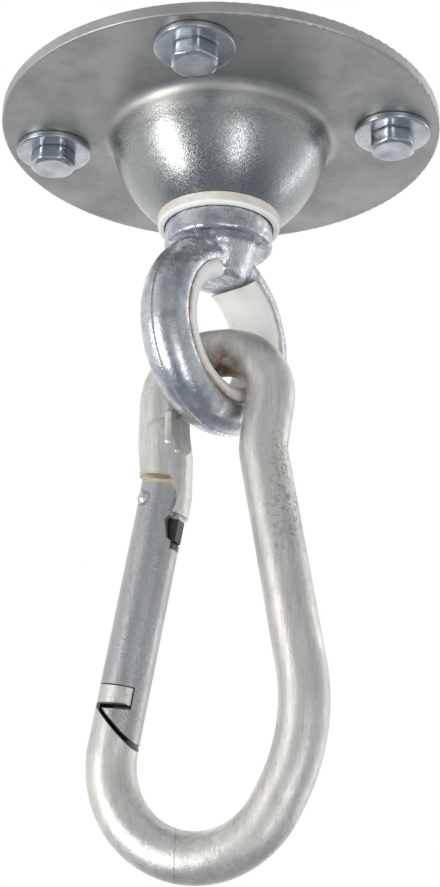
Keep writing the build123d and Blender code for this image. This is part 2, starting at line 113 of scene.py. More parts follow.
class HookFinishes(bpy.types.PropertyGroup):
    """Colours of the metal and nylon."""

    plate_zinc: colour_property("Plate zinc", "Light tone of the flange and dome", (0.53, 0.525, 0.50))
    plate_shade: colour_property("Plate shade", "Darker tone clouded over the flange", (0.43, 0.43, 0.405))
    bolt_zinc: colour_property("Bolt zinc", "Bluish zinc of bolts and washers", (0.50, 0.54, 0.58))
    eye_zinc: colour_property("Eye zinc", "Light tone of the forged eye", (0.72, 0.74, 0.75))
    eye_shade: colour_property("Eye shade", "Dark mottling of the forged eye", (0.44, 0.48, 0.53))
    hook_zinc: colour_property("Hook zinc", "Light tone of the hook's bar", (0.82, 0.785, 0.735))
    hook_shade: colour_property("Hook shade", "Dull tone clouded over the hook", (0.68, 0.655, 0.615))
    scuff: colour_property("Scuff", "Dark rubbed marks on the bar", (0.25, 0.225, 0.20))
    rust: colour_property("Rust", "Brown stain where the hook bears on the liner", (0.23, 0.13, 0.065))
    # Near-black painted shade for the latch gap and the slot under the tongue.
    painted_shade: colour_property("Painted shade", "Near-black grime in the latch", (0.035, 0.034, 0.032))
    tan_groove: colour_property("Groove tan", "Tan bloom in the groove above the gate", (0.60, 0.53, 0.40))
    nylon: colour_property("Nylon", "White nylon of the bush and liner", (0.80, 0.79, 0.77))
    nylon_dirt: colour_property("Nylon dirt", "Tan dirt on the nylon's edges", (0.40, 0.31, 0.20))


class HookSizes(bpy.types.PropertyGroup):
    """Sizes of the fine pieces, in metres."""

    bolt_across: length_property("Bolt head", "Width of a bolt's head across its flats", 0.010)
    bolt_head: length_property("Bolt head height", "Height of a bolt's head", 0.004)
    bolt_crown: length_property("Bolt crown", "Radius of the flat end of a bolt's head", 0.0046)
    bolt_thread: length_property("Bolt size", "Outside width of the bolt's thread", 0.006)
    bolt_length: length_property("Bolt length", "Length of a bolt under its head", 0.010)
    spring_wire: length_property("Spring wire", "Width of the spring's wire", 0.0006)
    spring_coil: length_property("Spring coil", "Width of the coil between wire middles", 0.0028)
    spring_turns: FloatProperty(name="Spring turns", description="Turns of the coil", default=7.0)
    washer_hole: length_property("Washer hole", "Radius of a washer's hole", 0.0033)
    thread_pitch: length_property("Bolt thread pitch", "Pitch of the bolt thread", 0.001)
    thread_depth: length_property("Bolt thread depth", "Depth of the bolt thread", 0.00045)


class Nodes:
    """A material's or group's node tree, with short ways to add and join nodes."""

    def __init__(self, tree):
        self.tree = tree

    def add(self, kind, **values):
        node = self.tree.nodes.new(kind)
        for key, value in values.items():
            if hasattr(node, key):
                setattr(node, key, value)
            else:
                node.inputs[key].default_value = value
        return node

    def link(self, output, socket):
        self.tree.links.new(output, socket)

    def feed(self, socket, value):
        """Links an output to a socket, or sets the socket's own value."""
        if isinstance(value, bpy.types.NodeSocket):
            self.link(value, socket)
        else:
            socket.default_value = value

    def noise(self, coords, scale, detail=4.0, rough=0.55, distort=0.0):
        node = self.add("ShaderNodeTexNoise", Scale=scale, Detail=detail, Roughness=rough, Distortion=distort)
        self.link(coords, node.inputs["Vector"])
        return node.outputs["Fac"]

    def ramp(self, value, low, high, out_low=0.0, out_high=1.0):
        node = self.add("ShaderNodeMapRange", clamp=True, interpolation_type="SMOOTHSTEP")
        self.feed(node.inputs["From Min"], low)
        self.feed(node.inputs["From Max"], high)
        node.inputs["To Min"].default_value = out_low
        node.inputs["To Max"].default_value = out_high
        self.link(value, node.inputs["Value"])
        return node.outputs["Result"]

    def maths(self, operation, first, second=None):
        node = self.add("ShaderNodeMath", operation=operation)
        self.feed(node.inputs[0], first)
        if second is not None:
            self.feed(node.inputs[1], second)
        return node.outputs["Value"]

    def times(self, first, second):
        return self.maths("MULTIPLY", first, second)

    def mix(self, mask, first, second):
        node = self.add("ShaderNodeMix", data_type="RGBA")
        colours = [s for s in node.inputs if s.type == "RGBA"]
        factor = [s for s in node.inputs if s.type == "VALUE"][0]
        self.feed(factor, mask)
        for socket, value in ((colours[0], first), (colours[1], second)):
            self.feed(socket, value if isinstance(value, bpy.types.NodeSocket) else (*value, 1.0))
        return [s for s in node.outputs if s.type == "RGBA"][0]


def grid_mesh(name, points, material, body, closed=False):
    """Mesh of a grid of points (rows, turns, 3) whose turns close round.

    With closed, the end rows close to their middles; without it, the last row joins the first.
    """
    rows, turns = points.shape[:2]
    index = np.arange(rows * turns).reshape(rows, turns)
    onward = np.roll(index, -1, axis=1)
    above, beyond = np.roll(index, -1, axis=0), np.roll(onward, -1, axis=0)
    quads = np.stack([index, onward, beyond, above], axis=-1)
    quads = (quads[:-1] if closed else quads).reshape(-1, 4)
    corners = points.reshape(-1, 3)
    mesh = bpy.data.meshes.new(name)
    tris = np.empty((0, 3), dtype=int)
    if closed:
        ends = np.stack([points[0].mean(axis=0), points[-1].mean(axis=0)])
        first, last = len(corners), len(corners) + 1
        corners = np.vstack([corners, ends])
        low = np.stack([onward[0], index[0], np.full(turns, first)], axis=-1)
        high = np.stack([index[-1], onward[-1], np.full(turns, last)], axis=-1)
        tris = np.vstack([low, high])
    mesh.from_pydata(corners.tolist(), [], quads.tolist() + tris.tolist())
    mesh.polygons.foreach_set("use_smooth", np.ones(len(mesh.polygons), dtype=bool))
    mesh.materials.append(material)
    mesh.update()
    piece = bpy.data.objects.new(name, mesh)
    bpy.context.scene.collection.objects.link(piece)
    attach(piece, body)
    return piece


def rounded_hexagon(angle, half_across, corner):
    """Distance of a hexagon's side from its middle at an angle, with its corners eased by a soft minimum."""
    sector = np.mod(angle + math.pi / 6, math.pi / 3) - math.pi / 6
    flat = half_across / np.cos(sector)
    limit = half_across / math.cos(math.pi / 6) - corner
    return limit - np.logaddexp(0.0, (limit - flat) / (0.35 * corner)) * 0.35 * corner


def threaded(height, angle, core, crest, pitch):
    """Radius of a screw: a triangle wave between core and crest that climbs one pitch a turn."""
    phase = np.mod(height / pitch - angle / (2 * math.pi), 1.0)
    return core + (crest - core) * np.clip(1.15 - np.abs(2 * phase - 1) * 1.3, 0.0, 1.0)


def new_group(name, settings, results):
    """Node group with a Vector, further numbers or vectors with their defaults, and value results."""
    group = bpy.data.node_groups.new(name, "ShaderNodeTree")
    group.interface.new_socket("Vector", in_out="INPUT", socket_type="NodeSocketVector")
    for label, default in settings:
        kind = "NodeSocketVector" if isinstance(default, tuple) else "NodeSocketFloat"
        socket = group.interface.new_socket(label, in_out="INPUT", socket_type=kind)
        socket.default_value = default
    for label in results:
        group.interface.new_socket(label, in_out="OUTPUT", socket_type="NodeSocketFloat")
    return group, Nodes(group), group.nodes.new("NodeGroupInput"), group.nodes.new("NodeGroupOutput")


def zinc_clouds_group():
    """Clouds and specks of zinc plating: colour mask, speck mask and a height."""
    scales = (("Cloud scale", 60.0), ("Speck scale", 2600.0))
    group, nodes, enter, leave = new_group("zinc clouds", scales, ("Clouds", "Specks", "Height"))
    clouds = nodes.add("ShaderNodeTexNoise", Detail=5.0, Roughness=0.6)
    nodes.link(enter.outputs["Vector"], clouds.inputs["Vector"])
    nodes.link(enter.outputs["Cloud scale"], clouds.inputs["Scale"])
    specks = nodes.add("ShaderNodeTexNoise", Detail=3.0, Roughness=0.7)
    nodes.link(enter.outputs["Vector"], specks.inputs["Vector"])
    nodes.link(enter.outputs["Speck scale"], specks.inputs["Scale"])
    cloud_mask = nodes.ramp(clouds.outputs["Fac"], 0.34, 0.66)
    speck_mask = nodes.ramp(specks.outputs["Fac"], 0.40, 0.70)
    height = nodes.maths("ADD", nodes.times(cloud_mask, 0.35), speck_mask)
    nodes.link(cloud_mask, leave.inputs["Clouds"])
    nodes.link(speck_mask, leave.inputs["Specks"])
    nodes.link(height, leave.inputs["Height"])
    return group


def rubbed_marks_group():
    """Fine rubbed lines and dark patches: stretched noise gives the lines, broad noise the patches."""
    group, nodes, enter, leave = new_group("rubbed marks", (), ("Lines", "Patches"))
    stretch = nodes.add("ShaderNodeMapping")
    stretch.inputs["Scale"].default_value = (1.0, 1.0, 0.08)
    nodes.link(enter.outputs["Vector"], stretch.inputs["Vector"])
    lines = nodes.noise(stretch.outputs["Vector"], 1400.0, 3.0, 0.6)
    patches = nodes.noise(enter.outputs["Vector"], 170.0, 5.0, 0.62, 0.6)
    nodes.link(nodes.ramp(lines, 0.50, 0.66), leave.inputs["Lines"])
    nodes.link(nodes.ramp(patches, 0.50, 0.68), leave.inputs["Patches"])
    return group


def new_material(name, metallic, roughness):
    """Material with one Principled shader, its node tree and Object coordinates."""
    material = bpy.data.materials.new(name)
    material.use_nodes = True
    nodes = Nodes(material.node_tree)
    shader = material.node_tree.nodes["Principled BSDF"]
    shader.inputs["Metallic"].default_value = metallic
    shader.inputs["Roughness"].default_value = roughness
    coords = nodes.add("ShaderNodeTexCoord").outputs["Object"]
    return material, nodes, shader, coords


def bump(nodes, shader, height, distance):
    """Bumps the shader's normal by a height, scaled to a distance in metres."""
    node = nodes.add("ShaderNodeBump")
    node.inputs["Strength"].default_value = 1.0
    node.inputs["Distance"].default_value = distance
    nodes.link(height, node.inputs["Height"])
    nodes.link(node.outputs["Normal"], shader.inputs["Normal"])


def use_group(nodes, coords, group, **settings):
    """Outputs of a node group in this tree; a setting named cloud_scale sets the input Cloud scale."""
    node = nodes.add("ShaderNodeGroup", node_tree=group)
    for label, value in settings.items():
        node.inputs[label.replace("_", " ").capitalize()].default_value = value
    nodes.link(coords, node.inputs["Vector"])
    return node.outputs


def along(nodes, coords, direction, origin=(0.0, 0.0, 0.0)):
    """Distance of a place along a direction from an origin."""
    shift = nodes.add("ShaderNodeVectorMath", operation="SUBTRACT")
    nodes.link(coords, shift.inputs[0])
    nodes.feed(shift.inputs[1], origin)
    dot = nodes.add("ShaderNodeVectorMath", operation="DOT_PRODUCT")
    nodes.link(shift.outputs["Vector"], dot.inputs[0])
    nodes.feed(dot.inputs[1], direction)
    return dot.outputs["Value"]


def away(nodes, coords, centre):
    """Distance of a place from a centre."""
    node = nodes.add("ShaderNodeVectorMath", operation="DISTANCE")
    nodes.link(coords, node.inputs[0])
    nodes.feed(node.inputs[1], centre)
    return node.outputs["Value"]


def plate_material(finishes, clouds, rubbed):
    """Satin zinc on the flat flange, finer and brighter on the drawn dome, tan round the mouth. The dome's
    darker base tone is a painted dark reflection, and the light band on its shoulder is a painted highlight.
    """
    material, nodes, shader, coords = new_material("plate zinc", 1.0, 0.4)
    masks = use_group(nodes, coords, clouds, cloud_scale=55.0, speck_scale=2600.0)
    marks = use_group(nodes, coords, rubbed)
    height_z = along(nodes, coords, UP)
    dome = nodes.ramp(height_z, -0.0042, -0.0075)
    lip = nodes.ramp(height_z, -0.0236, -0.0244)
    base = nodes.mix(masks["Clouds"], finishes.plate_shade, finishes.plate_zinc)
    base = nodes.mix(nodes.times(masks["Specks"], 0.30), base, (0.66, 0.68, 0.68))
    # Painted dark reflection: the dome's base tone is darkened to stand for the dark surroundings it mirrors.
    base = nodes.mix(nodes.times(dome, 0.8), base, (0.30, 0.315, 0.325))
    # Painted highlight: a lighter band round the dome's shoulder.
    shoulder = nodes.times(nodes.ramp(height_z, -0.0095, -0.0075), dome)
    base = nodes.mix(nodes.times(shoulder, 0.7), base, (0.66, 0.66, 0.64))
    grain = nodes.ramp(nodes.noise(coords, 3600.0, 2.0, 0.6), 0.42, 0.60)
    base = nodes.mix(nodes.times(dome, nodes.times(grain, 0.4)), base, (0.62, 0.63, 0.62))
    stains = nodes.times(marks["Patches"], nodes.ramp(dome, 0.0, 1.0, 0.16, 0.05))
    base = nodes.mix(stains, base, (0.24, 0.24, 0.22))
    blotch = nodes.ramp(nodes.noise(coords, 95.0, 6.0, 0.68, 1.2), 0.52, 0.66)
    pale = nodes.times(blotch, nodes.ramp(dome, 0.0, 1.0, 0.22, 0.10))
    base = nodes.mix(pale, base, (0.60, 0.59, 0.56))
    base = nodes.mix(nodes.times(lip, 0.6), base, (0.46, 0.42, 0.35))
    nodes.link(base, shader.inputs["Base Color"])
    flat_rough = nodes.ramp(masks["Clouds"], 0.0, 1.0, 0.50, 0.42)
    dome_rough = nodes.ramp(masks["Specks"], 0.0, 1.0, 0.19, 0.31)
    rough = nodes.add("ShaderNodeMix", data_type="FLOAT")
    nodes.link(dome, rough.inputs[0])
    nodes.link(flat_rough, rough.inputs[2])
    nodes.link(dome_rough, rough.inputs[3])
    nodes.link(rough.outputs[0], shader.inputs["Roughness"])
    bump(nodes, shader, nodes.maths("ADD", masks["Height"], nodes.times(blotch, 0.6)), 0.000016)
    return material


def bolt_material(finishes, clouds):
    """Bright bluish zinc with fine specks."""
    material, nodes, shader, coords = new_material("bolt zinc", 1.0, 0.3)
    masks = use_group(nodes, coords, clouds, cloud_scale=190.0, speck_scale=3600.0)
    base = nodes.mix(masks["Clouds"], finishes.bolt_zinc, (0.60, 0.63, 0.65))
    base = nodes.mix(nodes.times(masks["Specks"], 0.25), base, (0.36, 0.38, 0.40))
    nodes.link(base, shader.inputs["Base Color"])
    nodes.link(nodes.ramp(masks["Clouds"], 0.0, 1.0, 0.24, 0.15), shader.inputs["Roughness"])
    bump(nodes, shader, masks["Height"], 0.000008)
    return material


def wire_material(finishes, clouds):
    """Greyish drawn steel of the spring and its plunger, darkened with old grease."""
    material, nodes, shader, coords = new_material("spring steel", 1.0, 0.4)
    masks = use_group(nodes, coords, clouds, cloud_scale=420.0, speck_scale=3000.0)
    base = nodes.mix(masks["Clouds"], (0.20, 0.195, 0.18), (0.34, 0.335, 0.31))
    nodes.link(base, shader.inputs["Base Color"])
    nodes.link(nodes.ramp(masks["Specks"], 0.0, 1.0, 0.36, 0.5), shader.inputs["Roughness"])
    bump(nodes, shader, masks["Height"], 0.000008)
    return material


def eye_material(finishes, clouds):
    """Bright zinc over a forged skin: soft dents and blotches, and rough pits at the neck."""
    material, nodes, shader, coords = new_material("eye zinc", 1.0, 0.3)
    masks = use_group(nodes, coords, clouds, cloud_scale=240.0, speck_scale=2300.0)
    upper = nodes.ramp(along(nodes, coords, UP), -0.047, -0.040)
    broad = nodes.ramp(nodes.noise(coords, 420.0, 3.0, 0.5, 0.8), 0.40, 0.62)
    base = nodes.mix(nodes.times(masks["Clouds"], 0.8), finishes.eye_shade, finishes.eye_zinc)
    base = nodes.mix(nodes.times(broad, 0.40), base, (0.80, 0.80, 0.80))
    worn = nodes.ramp(nodes.noise(coords, 150.0, 5.0, 0.65, 1.5), 0.55, 0.64)
    base = nodes.mix(nodes.times(worn, 0.35), base, (0.36, 0.37, 0.38))
    base = nodes.mix(nodes.times(masks["Specks"], 0.25), base, (0.34, 0.36, 0.38))
    nodes.link(base, shader.inputs["Base Color"])
    nodes.link(nodes.ramp(broad, 0.0, 1.0, 0.32, 0.18), shader.inputs["Roughness"])
    coarse = nodes.noise(coords, 380.0, 3.0, 0.55)
    rise = nodes.times(coarse, nodes.maths("ADD", nodes.times(upper, 2.4), 0.7))
    bump(nodes, shader, nodes.maths("ADD", rise, nodes.times(masks["Specks"], 0.12)), 0.00013)
    return material


def nylon_dirt_group():
    """Dirt of white nylon: tan soil between two distances from a bore's axis, small spots and a height."""
    settings = (("Centre", (0.0, 0.0, 0.0)), ("Axis", UP), ("Inner", 0.014), ("Outer", 0.015))
    group, nodes, enter, leave = new_group("nylon dirt", settings, ("Soil", "Spots", "Height"))
    coords, centre = enter.outputs["Vector"], enter.outputs["Centre"]
    depth = along(nodes, coords, enter.outputs["Axis"], centre)
    reach = away(nodes, coords, centre)
    square = nodes.maths("SUBTRACT", nodes.times(reach, reach), nodes.times(depth, depth))
    radial = nodes.maths("SQRT", nodes.maths("MAXIMUM", square, 0.0))
    near = nodes.ramp(radial, enter.outputs["Inner"], enter.outputs["Outer"])
    wander = nodes.noise(coords, 260.0, 4.0, 0.6)
    spots = nodes.ramp(nodes.noise(coords, 700.0, 3.0, 0.6), 0.60, 0.74, 0.0, 0.35)
    nodes.link(nodes.times(near, nodes.ramp(wander, 0.36, 0.60, 0.35, 1.0)), leave.inputs["Soil"])
    nodes.link(spots, leave.inputs["Spots"])
    nodes.link(wander, leave.inputs["Height"])
    return group


def nylon_material(name, finishes, dirt, centre, axis, inner, outer):
    """White nylon, tan where it meets the metal: between two distances from a bore's axis."""
    material, nodes, shader, coords = new_material(name, 0.0, 0.42)
    shader.inputs["Subsurface Weight"].default_value = 0.12
    shader.inputs["Subsurface Radius"].default_value = (0.0012, 0.0010, 0.0008)
    soiled = use_group(nodes, coords, dirt, centre=centre, axis=axis, inner=inner, outer=outer)
    base = nodes.mix(soiled["Soil"], finishes.nylon, finishes.nylon_dirt)
    base = nodes.mix(soiled["Spots"], base, (0.52, 0.47, 0.39))
    nodes.link(base, shader.inputs["Base Color"])
    bump(nodes, shader, soiled["Height"], 0.00003)
    return material


def within(nodes, value, low, high, soft):
    """Mask that is one between two bounds and fades out over a soft distance beyond them."""
    return nodes.times(nodes.ramp(value, low - soft, low), nodes.ramp(value, high + soft, high))


def leg_place(across, along_leg, toward=0.0):
    """Place in metres of a point on the gate's leg: across it, down along it and towards the camera."""
    tilt = math.radians(LEG_TILT)
    yaw = math.radians(HOOK_YAW)
    side = LEG_ORIGIN[0] + across * math.cos(tilt) - along_leg * math.sin(tilt)
    height = LEG_ORIGIN[1] - across * math.sin(tilt) - along_leg * math.cos(tilt)
    ahead = side * math.sin(yaw) - toward * math.cos(yaw)
    return (side * math.cos(yaw) + toward * math.sin(yaw), ahead, height)


def leg_axes():
    """Unit directions across the gate's leg and down along it."""
    start, right, down = (np.array(leg_place(*spot)) for spot in ((0, 0), (1, 0), (0, 1)))
    return tuple(right - start), tuple(down - start)


def leg_shade_and_groove(nodes, coords):
    """Masks of the near-black painted shade in the latch gap and in the slot under the tongue, and of the tan
    groove above the gate.
    """
    right, down = leg_axes()
    start = leg_place(0.0, 0.0)
    across = along(nodes, coords, right, start)
    depth = along(nodes, coords, down, start)
    from_pin = away(nodes, coords, leg_place(*PIN_SPOT))
    near_leg = within(nodes, across, -0.008, 0.008, 0.0005)
    top = nodes.times(
        within(nodes, from_pin, 0.04665, 0.04765, 0.0003), within(nodes, across, -0.0042, 0.0030, 0.0004)
    )
    slope = np.array(LATCH_FOOT) - np.array(LATCH_TOP)
    slope = slope / np.linalg.norm(slope)
    normal = np.array(right) * slope[1] - np.array(down) * slope[0]
    beside = along(nodes, coords, tuple(normal), leg_place(*LATCH_TOP))
    slant = nodes.times(
        within(nodes, beside, -0.0001, 0.0008, 0.0002), within(nodes, depth, 0.0468, 0.058, 0.0003)
    )
    yaw = math.radians(HOOK_YAW)
    aside = along(nodes, coords, (math.sin(yaw), -math.cos(yaw), 0.0))
    inside = within(nodes, aside, -SLOT_HALF, SLOT_HALF, 0.00008)
    pocket = nodes.times(within(nodes, depth, 0.0034, 0.0100, 0.0004), inside)
    # The latch's top and slant and the pocket under the tongue are painted near-black: painted shade where
    # the deep slits lie in shade.
    dark = nodes.maths("MAXIMUM", nodes.maths("MAXIMUM", top, slant), pocket)
    groove = nodes.times(
        within(nodes, depth, -0.0061, -0.0040, 0.0003), within(nodes, across, -0.008, 0.0024, 0.0006)
    )
    return nodes.times(dark, near_leg), groove


def hook_wear_and_shade_group(rubbed):
    """Wear of the hook and its gate: masks of dull clouds, streaks, scuffs, flecks, seam and rust, and of
    painted shade in the latch gap and under the tongue.
    """
    results = (
        "Dull", "Streaks", "Scuffs", "Rubbed", "Lines", "Flecks", "Seam", "Rust", "Painted shade", "Groove",
    )
    group, nodes, enter, leave = new_group("hook wear", (), results)
    coords = enter.outputs["Vector"]
    marks = use_group(nodes, coords, rubbed)
    across = along(nodes, coords, SIDEWAYS)
    level = along(nodes, coords, UP)
    dull = nodes.ramp(nodes.noise(coords, 62.0, 3.0, 0.5, 0.5), 0.40, 0.62)
    stretch = nodes.add("ShaderNodeMapping")
    stretch.inputs["Scale"].default_value = (1.0, 1.0, 0.10)
    nodes.link(coords, stretch.inputs["Vector"])
    streaks = nodes.ramp(nodes.noise(stretch.outputs["Vector"], 420.0, 4.0, 0.6), 0.42, 0.62)
    shoulder = nodes.times(nodes.ramp(level, -0.114, -0.098), nodes.ramp(level, -0.079, -0.084))
    outer = nodes.ramp(across, 0.0105, 0.0145)
    mottle = nodes.ramp(nodes.noise(coords, 760.0, 6.0, 0.75, 0.8), 0.49, 0.60)
    scuffs = nodes.times(nodes.times(outer, shoulder), mottle)
    low = nodes.times(marks["Patches"], nodes.ramp(level, -0.112, -0.150, 0.30, 0.10))
    flecks = nodes.ramp(nodes.noise(coords, 900.0, 4.0, 0.7, 0.4), 0.60, 0.72, 0.0, 0.40)
    seam = nodes.times(
        within(nodes, across, -0.00625, -0.0060, 0.00012), nodes.ramp(level, -0.160, -0.164)
    )
    seat = nodes.ramp(away(nodes, coords, HOOK_SEAT), 0.0115, 0.0065)
    rust = nodes.times(seat, nodes.ramp(nodes.noise(coords, 300.0, 4.0, 0.6), 0.35, 0.6, 0.25, 0.95))
    painted_shade, groove = leg_shade_and_groove(nodes, coords)
    masks = (
        dull, streaks, scuffs, nodes.times(low, mottle), marks["Lines"], flecks, seam, rust, painted_shade, groove,
    )
    for label, mask in zip(results, masks):
        nodes.link(mask, leave.inputs[label])
    return group


def hook_material(name, finishes, clouds, wear_and_shade, tint, share, smooth):
    """Dull zinc tinted by a share of a second colour, with the hook's worn marks and the painted shade of its
    latch over it.
    """
    material, nodes, shader, coords = new_material(name, 0.85, 0.46)
    masks = use_group(nodes, coords, clouds, cloud_scale=110.0, speck_scale=2200.0)
    worn = use_group(nodes, coords, wear_and_shade)
    base = nodes.mix(masks["Clouds"], finishes.hook_shade, finishes.hook_zinc)
    base = nodes.mix(share, base, tint)
    layers = (
        (worn["Dull"], 0.30, (0.50, 0.505, 0.51)),
        (masks["Specks"], 0.22, (0.78, 0.775, 0.74)),
        (worn["Streaks"], 0.30, (0.46, 0.47, 0.485)),
        (worn["Rubbed"], 1.0, finishes.scuff),
        (worn["Scuffs"], 0.65, finishes.scuff),
        (worn["Flecks"], 1.0, (0.22, 0.22, 0.21)),
        (worn["Lines"], 0.24, (0.30, 0.30, 0.29)),
        (worn["Seam"], 0.3, finishes.scuff),
        (worn["Rust"], 1.0, finishes.rust),
        (worn["Groove"], 0.6, finishes.tan_groove),
        # Near-black painted shade in the latch gap and under the tongue.
        (worn["Painted shade"], 0.92, finishes.painted_shade),
    )
    for mask, strength, colour in layers:
        base = nodes.mix(nodes.times(mask, strength), base, colour)
    nodes.link(base, shader.inputs["Base Color"])
    rough = nodes.ramp(masks["Clouds"], 0.0, 1.0, smooth + 0.12, smooth)
    nodes.link(nodes.maths("ADD", rough, nodes.times(worn["Scuffs"], 0.12)), shader.inputs["Roughness"])
    height = nodes.maths("ADD", masks["Height"], nodes.times(worn["Lines"], -0.5))
    height = nodes.maths("SUBTRACT", height, nodes.times(worn["Seam"], 1.2))
    bump(nodes, shader, nodes.maths("SUBTRACT", height, worn["Flecks"]), 0.00002)
    return material


def bolt_piece(name, centre, turn, seat, material, sizes, dents):
    """Hexagon bolt as one surface turned round its axis, and one row at each height.

    Rows run from the middle of the head's face, slightly dished, over a chamfer that goes straight
    from the crown's circle to the hexagon's side, down the flats, in under the head, up the plain
    neck and along the thread to its cone at the tip. The face is dented by a product of two waves.
    """
    angle = np.linspace(0.0, 2 * math.pi, 96, endpoint=False)[None, :]
    deep, crown, crest = sizes.bolt_head, sizes.bolt_crown, sizes.bolt_thread / 2
    dish_deep, chamfer_slope, corner_ease = 0.00003, 0.55, 0.00035
    foot_inset, neck_inset, tip_cone, dent_deep = 0.00018, 0.00032, 0.0007, 0.00005
    face = np.linspace(0.02, 1.0, 12)[:, None] * crown
    dish = dish_deep * np.cos(np.minimum(face / (0.9 * crown), 1.0) * math.pi) + dish_deep
    side = rounded_hexagon(angle, sizes.bolt_across / 2, corner_ease)
    rows = [(face, seat - deep + dish)]
    for part in np.linspace(0.0, 1.0, 8)[1:]:
        reach = crown + part * (side - crown)
        rows.append((reach, seat - deep + (reach - crown) * chamfer_slope + 2 * dish_deep))
    rows += [(side, seat - deep * (1 - part)) for part in (0.25, 0.5, 0.75, 0.93)]
    rows += [(side - foot_inset, seat), (crest - neck_inset, seat), (crest - neck_inset, -0.0001)]
    tip = seat + sizes.bolt_length
    levels = np.arange(0.0, tip, sizes.thread_pitch / 14)[:, None]
    screw = threaded(levels, angle, crest - sizes.thread_depth, crest, sizes.thread_pitch)
    rows.append((np.minimum(screw, crest - np.clip(levels - (tip - tip_cone), 0, None)), levels))
    radius = np.vstack([reach + 0 * angle for reach, level in rows])
    height = np.vstack([level + 0 * angle for reach, level in rows])
    swing = angle + turn + 0 * radius
    points = np.stack([radius * np.cos(swing), radius * np.sin(swing), height], axis=-1)
    wobble = np.sin(points[..., 0] * 900 + dents) * np.cos(points[..., 1] * 800 - dents) * dent_deep
    points[..., 2] -= wobble * (height < seat - deep * 0.4)
    points += np.array([centre[0], centre[1], 0.0])
    return grid_mesh(name, points, material, "mount", closed=True)


def washer_piece(name, centre, low, high, wide, material, sizes):
    """Washer as one closed ring: a rounded box profile carried round the bolt's axis.

    The profile is a superellipse: its cosine and sine keep their signs and are raised to a small power.
    """
    lap = np.linspace(0.0, 2 * math.pi, 40, endpoint=False)[:, None]
    turn = np.linspace(0.0, 2 * math.pi, 128, endpoint=False)[None, :]
    power = 0.28
    across = np.sign(np.cos(lap)) * np.abs(np.cos(lap)) ** power
    upward = np.sign(np.sin(lap)) * np.abs(np.sin(lap)) ** power
    reach = (wide + sizes.washer_hole) / 2 + (wide - sizes.washer_hole) / 2 * across
    points = np.stack([
        centre[0] + reach * np.cos(turn),
        centre[1] + reach * np.sin(turn),
        (low + high) / 2 + (high - low) / 2 * upward + 0 * turn,
    ], axis=-1)
    return grid_mesh(name, points, material, "mount")


def spring_piece(material, sizes):
    """Coil spring: a round wire carried along a helix whose pitch closes up at both ends.

    The way along the wire is eased by a sine wave, which brings the end turns together, and the
    wire tapers over its first and last steps so that its ends close.
    """
    turns = sizes.spring_turns
    way = np.linspace(0.0, 1.0, int(turns) * 36 + 1)[:, None]
    lap = np.linspace(0.0, 2 * math.pi, 14, endpoint=False)[None, :]
    wire = sizes.spring_wire / 2
    crowding, taper_share, taper_least = 0.11 * 0.9, 0.003, 0.15
    angle = way * turns * 2 * math.pi
    eased = way - crowding * np.sin(2 * math.pi * way)
    taper = np.clip(np.minimum(way, 1 - way) / taper_share, taper_least, 1.0)
    reach = sizes.spring_coil / 2 + wire * taper * np.cos(lap)
    depth = SPRING_FOOT - wire - (SPRING_FOOT - SPRING_HEAD - 2 * wire) * eased
    depth = depth + wire * taper * np.sin(lap)
    across = SPRING_ACROSS + reach * np.cos(angle)
    toward = reach * np.sin(angle)
    start, right, down, front = (
        np.array(leg_place(*spot)) for spot in ((0, 0), (1, 0), (0, 1), (0, 0, 1))
    )
    points = (
        start + across[..., None] * (right - start) + depth[..., None] * (down - start)
        + toward[..., None] * (front - start)
    )
    return grid_mesh("closing_spring", points[::-1], material, "gate", closed=True)


def give(names, material):
    """Makes a material the only one of each named solid."""
    for name in names:
        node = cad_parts[name]
        node.data.materials.clear()
        node.data.materials.append(material)


class HookFinish(bpy.types.Operator):
    """Gives every solid of the hook its metal or nylon finish."""

    bl_idname = "swinghook.finish"
    bl_label = "Finishes"

    def execute(self, context):
        finishes = context.scene.hook_finishes
        clouds = zinc_clouds_group()
        rubbed = rubbed_marks_group()
        give(["ceiling_plate"], plate_material(finishes, clouds, rubbed))
        bolts = bolt_material(finishes, clouds)
        give(BOLT_NODES + WASHER_NODES + ["lock_nut", "thrust_washer"], bolts)
        give(["swivel_eye"], eye_material(finishes, clouds))
        turn = math.radians(EYE_TURN)
        bore = (math.sin(turn), -math.cos(turn), 0.0)
        dirt = nylon_dirt_group()
        liner = nylon_material("liner nylon", finishes, dirt, BORE_CENTRE, bore, 0.0158, 0.0171)
        give(["eye_liner"], liner)
        bush = nylon_material("bush nylon", finishes, dirt, BUSH_CENTRE, UP, 0.0143, 0.0147)
        give(["dome_bush", "thrust_bush"], bush)
        wear_and_shade = hook_wear_and_shade_group(rubbed)
        bar = hook_material("hook zinc", finishes, clouds, wear_and_shade, (0.70, 0.69, 0.65), 0.2, 0.32)
        give(["hook_body", "gate_pin"], bar)
        sleeve = hook_material("gate zinc", finishes, clouds, wear_and_shade, (0.29, 0.315, 0.35), 0.72, 0.24)
        give(["gate"], sleeve)
        give(["gate_spring", "spring_plunger"], wire_material(finishes, clouds))
        return {"FINISHED"}


class HookSpring(bpy.types.Operator):
    """Coils the gate's spring between its plunger and its bore's floor; it moves with the gate."""

    bl_idname = "swinghook.spring"
    bl_label = "Spring"

    def execute(self, context):
        spring = spring_piece(bpy.data.materials["spring steel"], context.scene.hook_sizes)
        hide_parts("gate_spring")
        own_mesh(spring)
        return {"FINISHED"}


